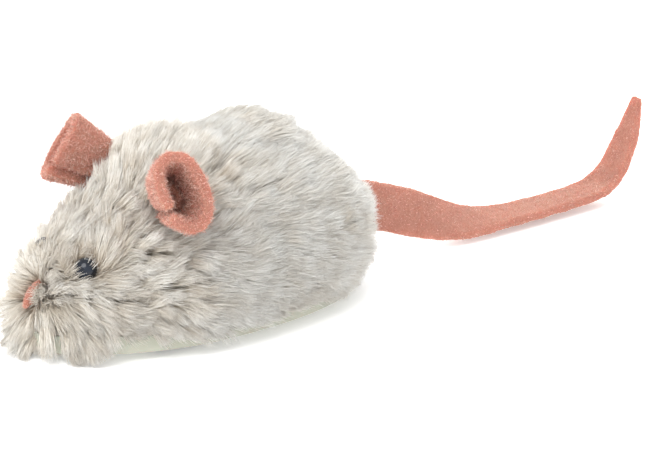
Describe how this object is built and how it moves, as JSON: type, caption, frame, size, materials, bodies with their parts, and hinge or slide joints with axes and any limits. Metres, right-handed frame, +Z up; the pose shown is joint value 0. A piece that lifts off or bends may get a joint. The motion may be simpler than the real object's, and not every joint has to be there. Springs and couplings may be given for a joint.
{
  "type": "clockwork mouse",
  "caption": "Wind-up toy mouse: plush coat over a plastic clockwork car, felt ears and tail, key-wound mainspring driving the wheels through a gear train.",
  "frame": {"origin": "middle of the flat chassis underside, between the drive wheels and the rear roller; the wheels reach 1.6 mm below it", "axes": "+Z up, -Y towards the nose, +Y along the body towards the tail, +X towards the mouse's left; the winding key is on its right"},
  "size_m": [0.0515, 0.1363, 0.037],
  "materials": {
    "pile": "long-pile plush, pale warm grey with browner roots",
    "felt": "salmon-pink felt",
    "cream_plastic": "moulded, satin",
    "white_plastic": "moulded acetal, satin",
    "black_gloss": "polished",
    "steel": "zinc-plated",
    "spring_steel": "blued spring steel",
    "brass": "stamped, satin",
    "rubber": "matte"
  },
  "bodies": {
    "mouse_body": {"plush_cover": "pile", "tail": "felt", "nose": "felt", "ear_left": "felt", "ear_right": "felt", "chassis": "cream_plastic", "body_shell": "cream_plastic", "gearbox_crossbar_front": "white_plastic", "gearbox_crossbar_rear": "white_plastic", "key_bushing": "white_plastic", "eye_left": "black_gloss", "eye_right": "black_gloss", "eye_washer_left": "steel", "eye_washer_right": "steel", "gearbox_plate_left": "steel", "gearbox_plate_right": "steel", "gearbox_pillar_middle": "steel", "gearbox_pillar_rear": "steel", "plate_screw_crossbar_front": "steel", "plate_screw_crossbar_rear": "steel", "plate_screw_pillar_middle": "steel", "plate_screw_pillar_rear": "steel", "gearbox_screw_front": "steel", "gearbox_screw_rear": "steel", "chassis_screw_front": "steel", "chassis_screw_left": "steel", "chassis_screw_right": "steel", "intermediate_shaft_1": "steel", "intermediate_shaft_2": "steel", "rear_axle": "steel", "mainspring": "spring_steel"},
    "winding_arbor": {"winding_arbor": "steel", "ratchet_wheel": "steel", "winding_key": "white_plastic"},
    "great_gear": {"great_gear": "brass", "click_rivet": "steel", "click_spring": "spring_steel"},
    "click": {"click": "steel"},
    "intermediate_gear_1": {"intermediate_gear_1": "white_plastic"},
    "intermediate_gear_2": {"intermediate_gear_2": "white_plastic"},
    "drive_axle": {"drive_axle": "steel", "axle_pinion": "brass", "drive_wheel_left": "white_plastic", "drive_wheel_right": "white_plastic", "tyre_left": "rubber", "tyre_right": "rubber"},
    "rear_roller": {"rear_roller": "white_plastic"}
  },
  "joints": [
    {"name": "drive_axle_spin", "type": "hinge", "parent": "mouse_body", "child": "drive_axle", "pos_m": [0, -0.007, 0.005], "axis": [1, 0, 0], "continuous": true},
    {"name": "intermediate_gear_2_spin", "type": "hinge", "parent": "mouse_body", "child": "intermediate_gear_2", "pos_m": [0, -0.01236, 0.01173], "axis": [1, 0, 0], "continuous": true},
    {"name": "intermediate_gear_1_spin", "type": "hinge", "parent": "mouse_body", "child": "intermediate_gear_1", "pos_m": [0, -0.00251, 0.01399], "axis": [1, 0, 0], "continuous": true},
    {"name": "great_gear_spin", "type": "hinge", "parent": "mouse_body", "child": "great_gear", "pos_m": [0, 0.009, 0.0154], "axis": [1, 0, 0], "continuous": true},
    {"name": "click_lift", "type": "hinge", "parent": "great_gear", "child": "click", "pos_m": [0, 0.01492, 0.01755], "axis": [-1, 0, 0], "range_deg": [0, 12]},
    {"name": "winding_key_turn", "type": "hinge", "parent": "mouse_body", "child": "winding_arbor", "pos_m": [0, 0.009, 0.0154], "axis": [1, 0, 0], "range_deg": [0, 1530]},
    {"name": "rear_roller_spin", "type": "hinge", "parent": "mouse_body", "child": "rear_roller", "pos_m": [0, 0.022, 0.0024], "axis": [1, 0, 0], "continuous": true}
  ],
  "couplings": [
    {"joint": "intermediate_gear_2_spin", "follows": "drive_axle_spin", "ratio": -0.41667},
    {"joint": "intermediate_gear_1_spin", "follows": "drive_axle_spin", "ratio": 0.13889},
    {"joint": "great_gear_spin", "follows": "drive_axle_spin", "ratio": -0.03858}
  ]
}
